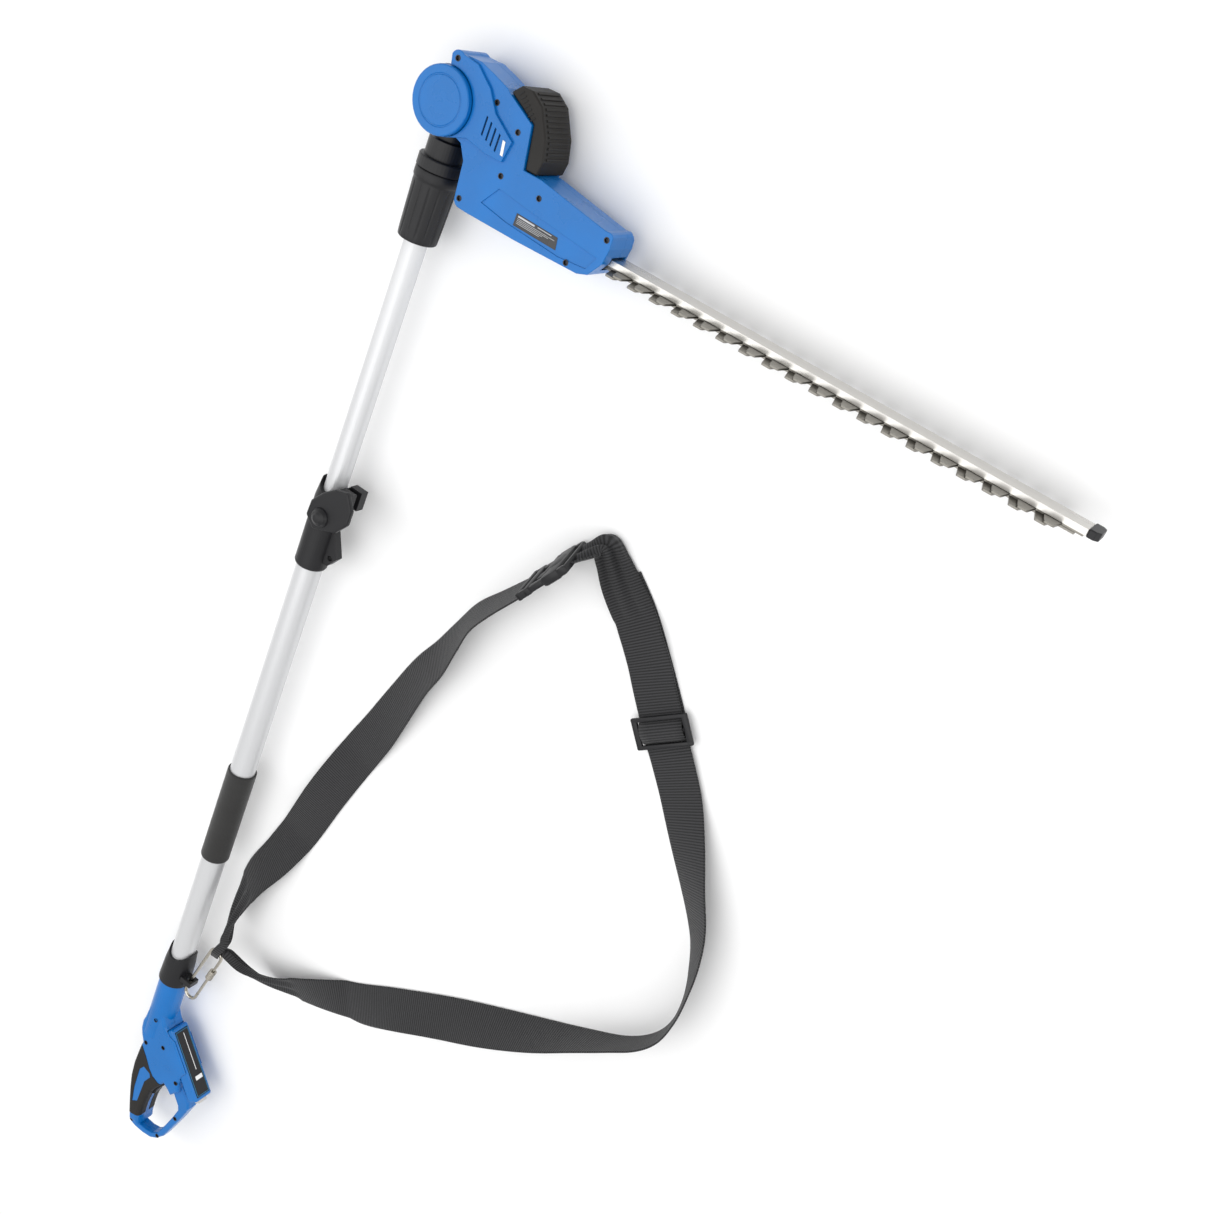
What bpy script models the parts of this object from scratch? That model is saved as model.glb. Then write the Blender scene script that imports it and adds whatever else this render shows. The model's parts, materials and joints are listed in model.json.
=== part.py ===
"""Pole hedge trimmer: telescopic pole, tilting cutter head, rear handle with battery, shoulder strap.

Frame: +Y runs along the pole towards the head, +X along the cutter, +Z up. The tool lies on its side.
The origin is on the head's tilt axis, at the outer face of the lower pivot cap.
Shape functions take millimetres, with z measured from the pole's axis, and make objects in metres.
"""
import math

import bmesh
import bpy
from mathutils import Matrix, Vector

MM = 0.001

# Driving dimensions, in millimetres
AXIS_Z = 36.0                # height of the pole's axis above the lower cap's face
LOWER_TUBE_R = 15.0
LOWER_TUBE_BORE_R = 13.6
LOWER_TUBE_END_Y = -1162.0
LOWER_TUBE_TOP_Y = -470.0
UPPER_TUBE_R = 12.3
UPPER_TUBE_BORE_R = 10.9
UPPER_TUBE_TOP_Y = -64.0
UPPER_TUBE_END_Y = -750.0
CAP_R = 32.3
CAP_HALF = 36.0              # outer face of each pivot cap, from the mid-plane
CHEEK_HALF = 30.0
BODY_HALF = 27.0
LOWER_KNEE = 19.0            # below this depth the head's lower shell is shallower than the upper
LOWER_SQUASH = 0.45
PIN_R = 6.0
GAP = 0.3                    # between touching pieces

MOTOR_X = 80.0
PINION_TEETH = 9
GEAR_TEETH = 41
GEAR_X = MOTOR_X + (PINION_TEETH + GEAR_TEETH) / 2.0

BAR_HALF = 12.0              # guide bar, half its width
BAR_TOP_Y = -58.9
BAR_BOTTOM_Y = -65.0
BAR_START_X = 136.0
BAR_END_X = 702.0
UPPER_BLADE_Y = (-67.3, -65.3)
LOWER_BLADE_Y = (-69.6, -67.6)
TOOTH_COUNT = 19
TOOTH_PITCH = 24.5
FIRST_TOOTH_X = 232.0
TOOTH_TIP_Z = 29.0
BLADE_SHIFT = 3.5            # how far each blade sits from mid-stroke

GRIP_HALF = 16.0             # rear handle, half the thickness of its grip
FRAME_HALF = 9.0             # and of the bar in front of the fingers
BATTERY_ANGLE = math.radians(-46.0)
BATTERY_SIZE = (102.0, 17.0, 28.0)
BATTERY_CENTRE = (59.6, -1271.7, 0.0)

LUG_EYE = (24.5, -503.0)
CLAMP_BOLT = (23.0, -430.0)
SNAP_EYE = (27.5, -1146.0, 6.0)
SNAP_TILT = math.radians(-12.8)

WEBBING = 50.0
WEBBING_THICK = 1.8
FLOOR = -AXIS_Z

COLOURS = {
    "blue_plastic": ((0.010, 0.190, 0.620, 1.0), 0.38, 0.0),
    "black_plastic": ((0.018, 0.018, 0.020, 1.0), 0.50, 0.0),
    "soft_black": ((0.030, 0.029, 0.028, 1.0), 0.75, 0.0),
    "aluminium_tube": ((0.80, 0.81, 0.82, 1.0), 0.35, 0.9),
    "bar_aluminium": ((0.78, 0.77, 0.75, 1.0), 0.30, 0.9),
    "blade_steel": ((0.42, 0.40, 0.36, 1.0), 0.35, 1.0),
    "steel": ((0.60, 0.59, 0.57, 1.0), 0.30, 1.0),
    "copper": ((0.70, 0.36, 0.16, 1.0), 0.40, 1.0),
    "webbing": ((0.012, 0.012, 0.013, 1.0), 0.90, 0.0),
    "cell_foil": ((0.55, 0.56, 0.58, 1.0), 0.40, 0.6),
}


# ---- scene helpers ----------------------------------------------------------------------------

def start_scene():
    for old in list(bpy.data.objects):
        bpy.data.objects.remove(old, do_unlink=True)
    parts = bpy.data.collections.new("pole_hedge_trimmer")
    cutters = bpy.data.collections.new("cutters")
    bpy.context.scene.collection.children.link(parts)
    bpy.context.scene.collection.children.link(cutters)
    return parts, cutters


PARTS, CUTTERS = start_scene()
MATERIALS = {}


def material(name):
    if name not in MATERIALS:
        colour, roughness, metallic = COLOURS[name]
        made = bpy.data.materials.new(name)
        made.use_nodes = True
        shader = made.node_tree.nodes["Principled BSDF"]
        shader.inputs["Base Color"].default_value = colour
        shader.inputs["Roughness"].default_value = roughness
        shader.inputs["Metallic"].default_value = metallic
        made.diffuse_color = colour
        MATERIALS[name] = made
    return MATERIALS[name]


def at(x, y, z):
    """World position, in metres, of a point given in millimetres from the pole's axis."""
    return Vector((x, y, z + AXIS_Z)) * MM


def place(obj, origin, look, turn=(0.0, 0.0, 0.0)):
    """Link an object; look is a material's name, or None for a cutter."""
    obj.location = at(*origin)
    obj.rotation_euler = turn
    if look is None:
        CUTTERS.objects.link(obj)
        obj.hide_render = True
        obj.display_type = "WIRE"
    else:
        PARTS.objects.link(obj)
        obj.data.materials.clear()
        obj.data.materials.append(material(look))
    return obj


def mesh_object(name, bm):
    mesh = bpy.data.meshes.new(name)
    bmesh.ops.recalc_face_normals(bm, faces=bm.faces)
    bm.to_mesh(mesh)
    bm.free()
    return bpy.data.objects.new(name, mesh)


def block(name, look, centre, size, turn_z=0.0, round_edges=0.0):
    bm = bmesh.new()
    bmesh.ops.create_cube(bm, size=1.0)
    bmesh.ops.scale(bm, vec=Vector(size) * MM, verts=bm.verts)
    obj = place(mesh_object(name, bm), centre, look, (0.0, 0.0, turn_z))
    if round_edges:
        bevel(obj, round_edges)
    return obj


TURN_TO = {"X": (0.0, math.pi / 2, 0.0), "Y": (-math.pi / 2, 0.0, 0.0), "Z": (0.0, 0.0, 0.0)}


def rod(name, look, start, direction, length, radius, sides=32, end_radius=None):
    """Round bar from a start point along +X, +Y or +Z."""
    bm = bmesh.new()
    top = radius if end_radius is None else end_radius
    bmesh.ops.create_cone(bm, cap_ends=True, segments=sides, radius1=radius * MM,
                          radius2=top * MM, depth=length * MM)
    bmesh.ops.translate(bm, vec=(0.0, 0.0, length * MM / 2), verts=bm.verts)
    return place(mesh_object(name, bm), start, look, TURN_TO[direction])


def turned(name, look, start, direction, profile, sides=32):
    """Turned piece. profile lists (radius, height), down the outside, and back up any bore."""
    bm = bmesh.new()
    verts = [bm.verts.new((r * MM, 0.0, h * MM)) for r, h in profile]
    for one, two in zip(verts, verts[1:]):
        bm.edges.new((one, two))
    if profile[0][0] > 0.0 and profile[-1][0] > 0.0:
        bm.edges.new((verts[-1], verts[0]))
    mesh = bpy.data.meshes.new(name)
    bm.to_mesh(mesh)
    bm.free()
    obj = place(bpy.data.objects.new(name, mesh), start, look, TURN_TO[direction])
    screw = obj.modifiers.new("turn", "SCREW")
    screw.steps = sides
    screw.render_steps = sides
    screw.use_merge_vertices = True
    screw.merge_threshold = 1e-5
    return obj


def ring(name, look, start, direction, outer, inner, length, sides=32):
    profile = [(outer, length), (outer, 0.0), (inner, 0.0), (inner, length)]
    return turned(name, look, start, direction, profile, sides)


def plate(name, look, outlines, low, high, origin=(0.0, 0.0, 0.0), plane="XY"):
    """Flat outline with holes, extruded. Plane XZ puts the outline's second axis along Z."""
    curve = bpy.data.curves.new(name, "CURVE")
    curve.dimensions = "2D"
    curve.fill_mode = "BOTH"
    curve.extrude = (high - low) * MM / 2
    for outline in outlines:
        spline = curve.splines.new("POLY")
        spline.points.add(len(outline) - 1)
        for point, (u, v) in zip(spline.points, outline):
            point.co = (u * MM, v * MM, 0.0, 1.0)
        spline.use_cyclic_u = True
    temporary = bpy.data.objects.new(name + "_curve", curve)
    CUTTERS.objects.link(temporary)
    depsgraph = bpy.context.evaluated_depsgraph_get()
    mesh = bpy.data.meshes.new_from_object(temporary.evaluated_get(depsgraph))
    bpy.data.objects.remove(temporary, do_unlink=True)
    bm = bmesh.new()
    bm.from_mesh(mesh)
    bmesh.ops.remove_doubles(bm, verts=bm.verts, dist=1e-6)
    middle = (low + high) / 2
    if plane == "XY":
        bmesh.ops.translate(bm, vec=(0.0, 0.0, middle * MM), verts=bm.verts)
    else:
        stand = Matrix.Rotation(math.pi / 2, 4, "X")
        bmesh.ops.transform(bm, matrix=stand, verts=bm.verts)
        bmesh.ops.translate(bm, vec=(0.0, middle * MM, 0.0), verts=bm.verts)
    obj = mesh_object(name, bm)
    return place(obj, origin, look)


def offset_outline(outline, inward):
    """The outline moved inward by a distance, with mitred corners."""
    count = len(outline)
    area = sum(outline[i - 1][0] * outline[i][1] - outline[i][0] * outline[i - 1][1] for i in range(count))
    side = 1.0 if area > 0.0 else -1.0
    moved = []
    for i in range(count):
        here = Vector(outline[i])
        before = (here - Vector(outline[i - 1])).normalized()
        after = (Vector(outline[(i + 1) % count]) - here).normalized()
        one = Vector((-before.y, before.x)) * side
        two = Vector((-after.y, after.x)) * side
        mitre = (one + two) / max(1.0 + one.dot(two), 0.5)
        moved.append(tuple(here + mitre * inward))
    return moved


def rounded_plate(name, look, outline, hole, low, high, grow, rounding=5.0, hole_rounding=3.4):
    """Upright-sided plate with a hole or None, whose upper edges are rounded; grown all round."""
    bm = bmesh.new()
    steps = 3
    caps = ([], [])
    borders = [(outline, rounding + grow, 1.0)]
    if hole:
        borders.append((hole, hole_rounding + grow, -1.0))
    for sides, radius, inward in borders:
        levels = [(low, -grow)]
        for step in range(steps + 1):
            angle = math.radians(90.0 * step / steps)
            levels.append((high + grow - radius + radius * math.sin(angle), -grow + radius * (1 - math.cos(angle))))
        loops = []
        for z, inset in levels:
            loop = offset_outline(sides, inset * inward)
            loops.append([bm.verts.new((x * MM, y * MM, z * MM)) for x, y in loop])
        count = len(sides)
        for one, two in zip(loops, loops[1:]):
            for i in range(count):
                bm.faces.new((one[i - 1], one[i], two[i], two[i - 1]))
        for cap, loop in zip(caps, (loops[0], loops[-1])):
            cap.extend(bm.edges.get((loop[i - 1], loop[i])) for i in range(count))
    for cap in caps:
        bmesh.ops.triangle_fill(bm, use_beauty=True, edges=cap)
    return place(mesh_object(name, bm), (0.0, 0.0, 0.0), look)


def modifier_boolean(obj, other, operation):
    change = obj.modifiers.new(operation.lower(), "BOOLEAN")
    change.operation = operation
    change.solver = "EXACT"
    change.object = other
    return obj


def cut(obj, *cutters):
    for cutter in cutters:
        modifier_boolean(obj, cutter, "DIFFERENCE")
    return obj


def join(obj, *pieces):
    for piece in pieces:
        modifier_boolean(obj, piece, "UNION")
    return obj


def bevel(obj, width, segments=2, angle=35.0):
    change = obj.modifiers.new("bevel", "BEVEL")
    change.width = width * MM
    change.segments = segments
    change.limit_method = "ANGLE"
    change.angle_limit = math.radians(angle)
    return obj


def mirrored(obj, name, knee=1000.0, squash=1.0):
    """The same piece on the other side of the mid-plane; beyond the knee its depth is squashed."""
    depsgraph = bpy.context.evaluated_depsgraph_get()
    mesh = bpy.data.meshes.new_from_object(obj.evaluated_get(depsgraph))
    mesh.transform(obj.matrix_world)
    flip = Matrix.Translation(at(0, 0, 0)) @ Matrix.Diagonal((1.0, 1.0, -1.0, 1.0))
    mesh.transform(flip @ Matrix.Translation(-at(0, 0, 0)))
    mesh.flip_normals()
    limit = (AXIS_Z - knee) * MM
    for vert in mesh.vertices:
        if vert.co.z < limit:
            vert.co.z = limit + (vert.co.z - limit) * squash
    made = bpy.data.objects.new(name, mesh)
    made.location = (0.0, 0.0, 0.0)
    PARTS.objects.link(made)
    return made


def arc(cx, cy, radius, start_deg, end_deg, steps):
    """Points on an arc, both ends included."""
    points = []
    for i in range(steps + 1):
        angle = math.radians(start_deg + (end_deg - start_deg) * i / steps)
        points.append((cx + radius * math.cos(angle), cy + radius * math.sin(angle)))
    return points


def circle(cx, cy, radius, steps=16):
    return arc(cx, cy, radius, 0.0, 360.0 * (steps - 1) / steps, steps - 1)


def rectangle(u0, v0, u1, v1):
    return [(u0, v0), (u1, v0), (u1, v1), (u0, v1)]


def slot(cx, cy, half_length, half_width, steps=5):
    right = arc(cx + half_length - half_width, cy, half_width, -90.0, 90.0, steps)
    left = arc(cx - half_length + half_width, cy, half_width, 90.0, 270.0, steps)
    return right + left


# ---- pole --------------------------------------------------------------------------------------

def saddle(name, y, radius=17.5):
    """Round cutter across a collar's end, which leaves a horn on each side of the tube."""
    return rod(name, None, (0.0, y, -40.0), "Z", 80.0, radius, 40)


def make_lower_pole():
    ring("lower_tube", "aluminium_tube", (0, LOWER_TUBE_END_Y, 0), "Y", LOWER_TUBE_R,
         LOWER_TUBE_BORE_R, LOWER_TUBE_TOP_Y - LOWER_TUBE_END_Y, 40)
    foam = [(17.2, 135), (17.5, 134), (17.5, 1), (17.2, 0), (LOWER_TUBE_R + GAP, 0),
            (LOWER_TUBE_R + GAP, 135)]
    turned("foam_grip", "soft_black", (0, -955, 0), "Y", foam, 36)
    ring("coiled_cord", "black_plastic", (0, -1150, 0), "Y", 10.5, 6.0, 148, 20)


def make_clamp():
    bore = LOWER_TUBE_R + GAP
    neck = UPPER_TUBE_R + GAP
    shell = [(16.2, 105), (18.5, 84), (18.5, 2), (17.5, 0), (bore, 0), (bore, 55.3), (neck, 55.3), (neck, 105)]
    sleeve = turned("clamp_sleeve", "black_plastic", (0, -525, 0), "Y", shell, 40)
    lug_sides = [(15.6, -514), (24, -513), (33, -500), (21, -474), (15.6, -466)]
    lug = plate("lug", None, [lug_sides], -5, 5)
    ear_top = block("ear_top", None, (23.4, -429.5, 9.5), (16, 22, 11))
    ear_low = block("ear_low", None, (23.4, -429.5, -9.5), (16, 22, 11))
    join(sleeve, lug, ear_top, ear_low)
    cut(sleeve, saddle("clamp_saddle", -417, 14.8),
        rod("lug_eye", None, (LUG_EYE[0], LUG_EYE[1], -10), "Z", 20, 3.2, 20),
        rod("ear_bore", None, (CLAMP_BOLT[0], CLAMP_BOLT[1], -20), "Z", 40, 3.0, 20),
        block("ear_slit", None, (24, -432, 0), (15.5, 40, 5)))

    octagon = [(-4, -439), (8, -423), (20, -413), (37, -408), (48, -425), (48, -442), (37, -457), (8, -468),
               (-5, -457)]
    sides = [(x - CLAMP_BOLT[0], y - CLAMP_BOLT[1]) for x, y in octagon]
    lever = plate("clamp_lever", "black_plastic", [sides], 24.6, 31.0, (CLAMP_BOLT[0], CLAMP_BOLT[1], 0))
    bevel(lever, 1.8, 2)
    join(lever, rod("lever_boss", None, (CLAMP_BOLT[0], CLAMP_BOLT[1], 15.4), "Z", 11, 7.5, 24))
    dome = [(0, 8.5), (4.6, 7.8), (8.2, 5.6), (10.4, 2.6), (11.2, 0), (0, 0)]
    join(lever, turned("lever_dome", None, (14, -450.5, 30.5), "Z", dome, 24))
    cut(lever, rod("lever_bore", None, (CLAMP_BOLT[0], CLAMP_BOLT[1], 14), "Z", 14, 3.0, 20))
    rod("clamp_bolt", "steel", (CLAMP_BOLT[0], CLAMP_BOLT[1], -20), "Z", 47, 2.6, 20)
    ring("clamp_nut", "steel", (CLAMP_BOLT[0], CLAMP_BOLT[1], -19.8), "Z", 5.4, 3.2, 4.4, 6)


def make_upper_pole():
    length = UPPER_TUBE_TOP_Y - UPPER_TUBE_END_Y
    ring("upper_tube", "aluminium_tube", (0, UPPER_TUBE_END_Y, 0), "Y", UPPER_TUBE_R, UPPER_TUBE_BORE_R,
         length, 36)
    bush = [(10.6, 18), (10.6, 6 - GAP), (13.3, 6 - GAP), (13.3, 0), (6, 0), (6, 18)]
    turned("tube_end_bush", "black_plastic", (0, UPPER_TUBE_END_Y - 6, 0), "Y", bush, 28)
    rod("cable_upper", "black_plastic", (0, -735, 0), "Y", 680, 2.4, 10)

    knuckle = rod("pole_neck", "black_plastic", (0, 0, -13.2), "Z", 26.4, 24.0, 40)
    stem_profile = [(0, 132), (14.8, 127), (14.8, 104), (19.5, 103), (19.5, 85), (23.0, 84.5), (23.8, 83.5),
                    (23.8, 73), (16.6, 73), (16.6, 0), (12.6, 0), (12.6, 78), (4.0, 78), (4.0, 97), (0, 97)]
    stem = turned("neck_stem", None, (0, -141, 0), "Y", stem_profile, 40)
    join(knuckle, stem)
    cut(knuckle, rod("pin_bore", None, (0, 0, -20), "Z", 40, PIN_R + GAP, 28))

    rod("pivot_pin", "steel", (0, 0, -21.5), "Z", 43.5, PIN_R, 28)
    teeth = 24
    index = [(radius * math.cos(2 * math.pi * i / (2 * teeth)), radius * math.sin(2 * math.pi * i / (2 * teeth)))
             for i, radius in enumerate([21.5, 19.5] * teeth)]
    plate("index_ring", "steel", [index, circle(0, 0, 6.3, 24)], 15.3, 19.3)

    sleeve = [(22.6, 71.6), (23.2, 70.8), (23.2, 63), (22.4, 62), (20.4, 1), (19.6, 0), (17.0, 0), (17.0, 71.6)]
    turned("lock_sleeve", "black_plastic", (0, -140.3, 0), "Y", sleeve, 40)


# ---- cutter head -------------------------------------------------------------------------------

def head_outline():
    pivot = arc(0, 0, 33.0, -50, -262, 20)
    lug = arc(1, 40, 8.0, 165, 50, 6)
    top = [(24, 47), (40, 43), (60, 37), (63, 34.5), (96, 18), (103.5, -22), (125, -22), (205, -34)]
    nose = arc(210, -38, 4.5, 90, -20, 3) + [(215, -48), (213, -63), (203, -78), (192, -82)]
    under = [(120, -84), (60, -84)] + arc(50, -76, 7.5, -100, -180, 3) + [(39, -42), (30, -28)]
    return pivot + lug + top + nose + under


def arm_outline():
    pivot = arc(0, 0, 33.0, -62, -262, 18)
    lug = arc(1, 40, 8.0, 165, 50, 6)
    return pivot + lug + [(24, 44), (44, 30), (58, 12), (84, -4), (80, -25), (60, -25), (36, -21)]


def make_head_shell():
    shell = plate("head_shell_upper", "blue_plastic", [head_outline()], -6.0, BODY_HALF)
    bevel(shell, 2.5, 1, 50)
    arm = plate("arm", None, [arm_outline()], 12.0, CHEEK_HALF)
    bevel(arm, 1.5, 1, 50)
    join(shell, arm)
    cut(shell, block("head_below", None, (90, -20, -50 + GAP / 2), (400, 300, 100)))
    chamber = [(38, -36), (44, -26), (60, -21), (100, -26), (124, -26.5), (134, -28), (134, -80), (120, -80.5),
               (58, -80.5), (47, -74)]
    tunnel = [(132, -32), (196, -40), (199, -60), (190, -76), (132, -79)]
    pocket = [(86, -48), (128, -53), (206, -60), (199, -74), (168, -77), (104, -73), (72, -68)]
    cut(shell,
        plate("chamber", None, [chamber], -1.0, 24.3),
        plate("tunnel", None, [tunnel], -1.0, 14.5),
        rod("motor_bay", None, (MOTOR_X, -30, 0), "Y", 59.5, 19.0, 32),
        rod("knuckle_room", None, (0, 0, -15.0), "Z", 30.0, 36.5, 44),
        rod("button_room", None, (0, 0, 25.4), "Z", 12.0, 33.0, 44),
        rod("pin_room", None, (0, 0, -30.0), "Z", 60.0, PIN_R + GAP, 28),
        rod("index_room", None, (0, 0, 14.0), "Z", 5.8, 22.4, 36),
        rod("spring_room", None, (0, 0, 22.5), "Z", 12.0, 10.2, 28),
        plate("label_pocket", None, [pocket], 26.0, 40.0),
        plate("bar_exit", None, [rectangle(190, -13.2, 230, 13.2)], -72.4, -57.0, plane="XZ"))
    for index in range(4):
        x = 50.0 + 6.2 * index
        vent = plate("vent_%d" % index, None, [[(x, 7 - 3 * index), (x + 2, 6 - 3 * index),
                     (x + 2, -12 - 2.5 * index), (x, -11 - 2.5 * index)]], 27.5, 40.0)
        cut(shell, vent)
    for number, (x, y, top) in enumerate([(1, 40.5, 30), (54, 21, 27), (85, 6, 27), (83, -37, 27),
                                          (129, -38, 27), (48, -75, 27), (178, -78, 27), (209, -41, 27)]):
        cut(shell, rod("screw_hole_%d" % number, None, (x, y, top - 2.4), "Z", 8, 2.3, 12))
    wedge = block("nose_wedge", None, (214.0, -60.0, 45.6), (150, 90, 30))
    wedge.rotation_euler = (0.0, math.radians(6.0), 0.0)
    cut(shell, wedge)
    lower = mirrored(shell, "head_shell_lower", LOWER_KNEE, LOWER_SQUASH)
    for number, (start, end, size) in enumerate([((8, 49), (62, 37), 13), ((126, -21), (207, -34), 12),
                                                 ((214.8, -30), (213.5, -84), 7)]):
        cut(lower, edge_cutter("lower_chamfer_%d" % number, start, end, size))


def edge_cutter(name, start, end, size):
    """Bar on edge along an outline, which chamfers the lower shell's underside by size."""
    low = -(LOWER_KNEE + (BODY_HALF - LOWER_KNEE) * LOWER_SQUASH)
    dx = end[0] - start[0]
    dy = end[1] - start[1]
    bar = block(name, None, ((start[0] + end[0]) / 2, (start[1] + end[1]) / 2, low),
                (math.hypot(dx, dy) + 24, size * math.sqrt(2), size * math.sqrt(2)))
    bar.rotation_euler = (math.radians(45.0), 0.0, math.atan2(dy, dx))
    return bar


def make_pivot_caps():
    face = [(0, 36), (22.5, 36), (23, 35.4), (24, 35.4), (24.5, 36), (31.3, 36), (CAP_R, 35), (CAP_R, 30),
            (31.5, 29.6), (0, 29.6)]
    turned("tilt_button", "blue_plastic", (0, 0, 0), "Z", face, 48)
    lower = [(0, -22.0), (31.3, -22.0), (CAP_R, -22.7), (CAP_R, -35), (31.3, -CAP_HALF), (0, -CAP_HALF)]
    turned("pivot_cap_lower", "blue_plastic", (0, 0, 0), "Z", lower, 48)
    coil("button_spring", "steel", (0, 0), 23.3, 29.1, 8.4, 0.5, 3)


def coil(name, look, centre, low, high, radius, wire, turns):
    steps = turns * 12
    curve = bpy.data.curves.new(name, "CURVE")
    curve.dimensions = "3D"
    curve.bevel_depth = wire * MM
    curve.bevel_resolution = 2
    curve.use_fill_caps = True
    spline = curve.splines.new("POLY")
    spline.points.add(steps)
    for i, point in enumerate(spline.points):
        angle = 2 * math.pi * turns * i / steps
        height = low + wire + (high - low - 2 * wire) * i / steps
        point.co = (radius * math.cos(angle) * MM, radius * math.sin(angle) * MM, height * MM, 1.0)
    return place(bpy.data.objects.new(name, curve), (centre[0], centre[1], 0.0), look)


def make_motor():
    outer = [(63.6, 35.2), (72, 44.5), (85, 45), (99, 36.5), (114, 11), (119, -8), (117, -21.6), (104.2, -21.6),
             (96.7, 18.4)]
    cover = plate("motor_cover", "soft_black", [outer], -22.0, 25.0)
    bevel(cover, 2.0, 1, 50)
    cut(cover, rod("cover_bay", None, (MOTOR_X, -30, 0), "Y", 59.5, 19.0, 32))
    can = [(0, 51), (7, 51), (7, 49), (18.4, 49), (18.4, 2), (17, 0), (2.2, 0), (2.2, 8), (0, 8)]
    turned("motor", "steel", (MOTOR_X, -23.5, 0), "Y", can, 32)
    pinion = gear_outline(PINION_TEETH, 3.7, 5.0, 0.30, 0.0)
    gear = plate("motor_pinion", "steel", [pinion], -37.5, -29.5, (MOTOR_X, 0, 0), "XZ")
    join(gear, rod("pinion_shaft", None, (MOTOR_X, -30.0, 0), "Y", 13.0, 1.6, 16))


def gear_outline(teeth, root, tip, share, phase):
    """Straight-sided teeth; share is the tooth's part of the pitch, phase turns the first tooth."""
    points = []
    pitch = 2 * math.pi / teeth
    for i in range(teeth):
        middle = i * pitch + phase
        for radius, offset in ((root, -share * 0.9), (tip, -share * 0.45), (tip, share * 0.45), (root, share * 0.9)):
            angle = middle + offset * pitch
            points.append((radius * math.cos(angle), radius * math.sin(angle)))
    return points


def make_gearbox():
    half_pitch = math.pi / GEAR_TEETH
    facing = math.pi + half_pitch
    outline = gear_outline(GEAR_TEETH, 19.0, 20.7, 0.28, facing)
    holes = [circle(12.0 * math.cos(a), 12.0 * math.sin(a), 3.2, 12) for a in (0.3, 1.87, 3.44, 5.01)]
    plate("drive_gear", "steel", [outline, circle(0, 0, 3.3, 20)] + holes, -37.0, -31.0, (GEAR_X, 0, 0), "XZ")
    shaft = rod("crank", "steel", (GEAR_X, -72.0, 0), "Y", 42.5, 3.0, 20)
    join(shaft, rod("throw_upper", None, (GEAR_X + BLADE_SHIFT, -67.4, 0), "Y", 2.2, 5.0, 20),
         rod("throw_lower", None, (GEAR_X - BLADE_SHIFT, -69.7, 0), "Y", 2.2, 5.0, 20))
    frame = [(80, -20), (126, -20), (136, -12), (197, -12), (197, 12), (136, 12), (126, 20), (80, 20)]
    plate("gearbox_plate", "bar_aluminium", [frame, circle(GEAR_X, 0, 8.3, 24)], BAR_TOP_Y + GAP, -54.5,
          plane="XZ")
    ring("gear_bearing", "steel", (GEAR_X, BAR_TOP_Y + GAP, 0), "Y", 8.0, 3.3, 4.0, 24)


BOLT_X = (160.0, 400.0, 640.0)


def blade_outline(offset):
    """One toothed blade, as a half outline on +Z and its mirror on -Z."""
    half = [(88.0, 11.5), (123.0, 11.5), (130.0, 10.0), (206.0, 10.0)]
    for i in range(TOOTH_COUNT):
        x = FIRST_TOOTH_X + i * TOOTH_PITCH + offset
        half += [(x - 9.0, 10.0), (x - 4.2, TOOTH_TIP_Z - 1.0), (x - 3.2, TOOTH_TIP_Z), (x + 4.6, TOOTH_TIP_Z),
                 (x + 5.6, TOOTH_TIP_Z - 1.0), (x + 8.0, 10.0)]
    half += [(700.0 + offset, 10.0)]
    return half + [(x, -z) for x, z in reversed(half)]


def make_blades():
    for name, offset, (low, high) in (("blade_upper", 0.0, UPPER_BLADE_Y), ("blade_lower", -7.0, LOWER_BLADE_Y)):
        shift = BLADE_SHIFT if name == "blade_upper" else -BLADE_SHIFT
        window = rectangle(GEAR_X + shift - 13.0, -8.8, GEAR_X + shift + 13.0, 8.8)
        slots = [slot(x + shift, 0.0, 7.4, 2.9) for x in BOLT_X]
        plate(name, "blade_steel", [blade_outline(offset), window] + slots, low, high, plane="XZ")


def make_guide_bar():
    bar = plate("guide_bar", "bar_aluminium", [rectangle(BAR_START_X, -BAR_HALF, BAR_END_X, BAR_HALF)],
                BAR_BOTTOM_Y, BAR_TOP_Y, plane="XZ")
    for x in BOLT_X:
        cut(bar, rod("bolt_hole_%d" % x, None, (x, BAR_BOTTOM_Y - 1, 0), "Y", 5.4, 2.5, 16))
        bolt = [(2.2, 9.2), (2.2, 0.0), (5.0, 0.0), (5.0, -2.6), (0, -2.6)]
        turned("blade_bolt_%d" % (BOLT_X.index(x) + 1), "steel", (x, LOWER_BLADE_Y[0] - GAP, 0), "Y",
               [(0, 9.2)] + bolt, 16)
    guard = plate("tip_guard", "black_plastic", [[(702.4, -13), (709, -13), (713, -9), (713, 9), (709, 13),
                  (702.4, 13)]], -65.4, -57.6, plane="XZ")
    bevel(guard, 0.8, 1, 40)


# ---- rear handle -------------------------------------------------------------------------------

def body_outline():
    """Neck, battery dock and grip, which are the thick part of the handle."""
    left = [(-13, -1218), (-15, -1240), (-17, -1250), (-16, -1262), (-12, -1272), (-7, -1281), (-8.5, -1300)]
    back = [(-9.6, -1323), (-8.2, -1346), (-4, -1367), (1, -1387), (6, -1405), (9, -1415)]
    front = [(26, -1415), (24.5, -1408), (23.5, -1394), (23.5, -1379), (25.5, -1360), (29, -1345), (36, -1331)]
    under = [(44, -1317), (52, -1321), (59, -1326.5), (70, -1311), (66, -1297), (68, -1284)]
    dock = [(73, -1273), (41, -1240), (30, -1238), (21, -1231), (13, -1218)]
    return left + back + front + under + dock


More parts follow.
